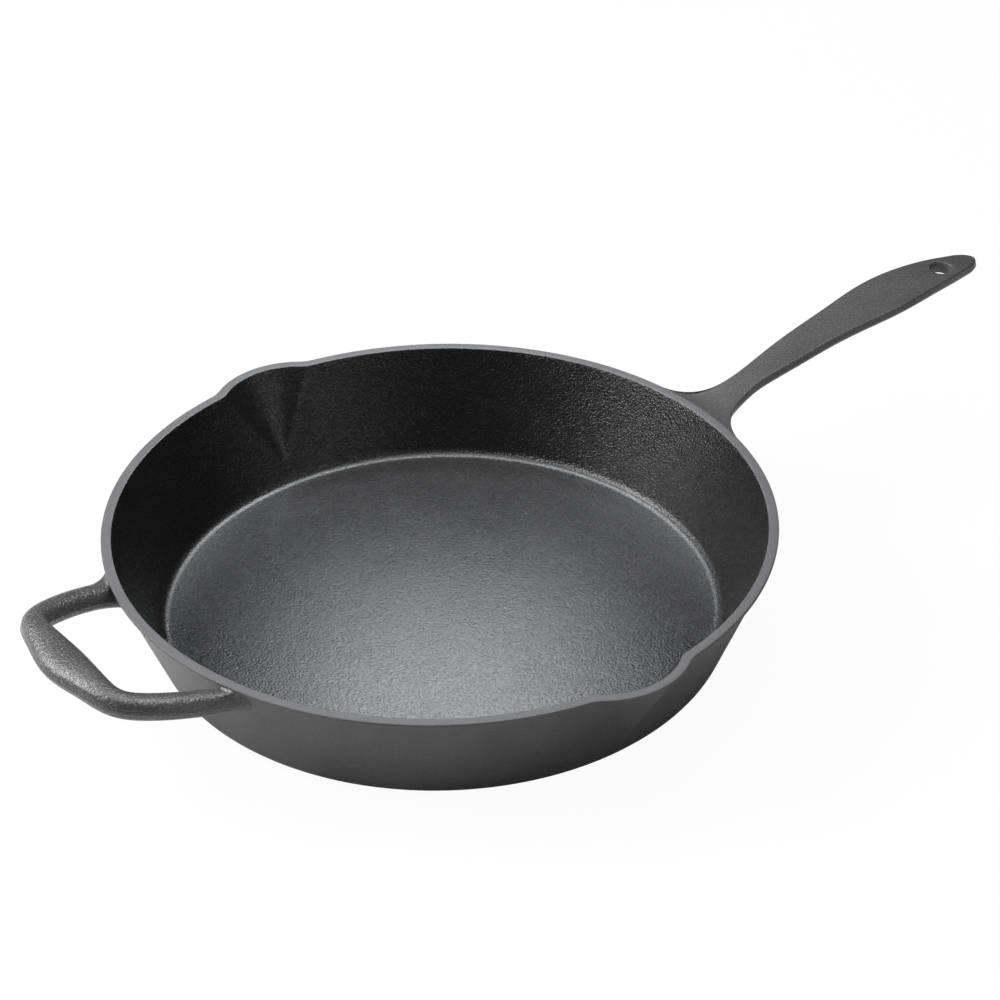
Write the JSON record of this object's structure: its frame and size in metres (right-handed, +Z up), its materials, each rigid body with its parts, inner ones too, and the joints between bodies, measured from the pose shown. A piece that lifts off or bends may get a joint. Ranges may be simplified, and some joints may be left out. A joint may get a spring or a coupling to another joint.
{
  "type": "skillet",
  "caption": "Deep round frying pan with flared wall, pour spouts, long upswept handle with hanging hole, and looped helper handle.",
  "frame": {"origin": "centre of the flat face that the skillet rests on", "axes": "+X along the long handle, +Z up; the pour spouts are on +Y and -Y"},
  "size_m": [0.5697, 0.3456, 0.0886],
  "materials": {
    "pan_iron": "seasoned, fine sand-cast grain, satin",
    "handle_iron": "seasoned, smoothed, satin"
  },
  "bodies": {
    "root": {"pan_floor": "pan_iron", "handle_side_wall": "pan_iron", "helper_side_wall": "pan_iron", "left_pour_spout": "pan_iron", "right_pour_spout": "pan_iron", "long_handle": "handle_iron", "helper_handle": "handle_iron"}
  },
  "joints": []
}
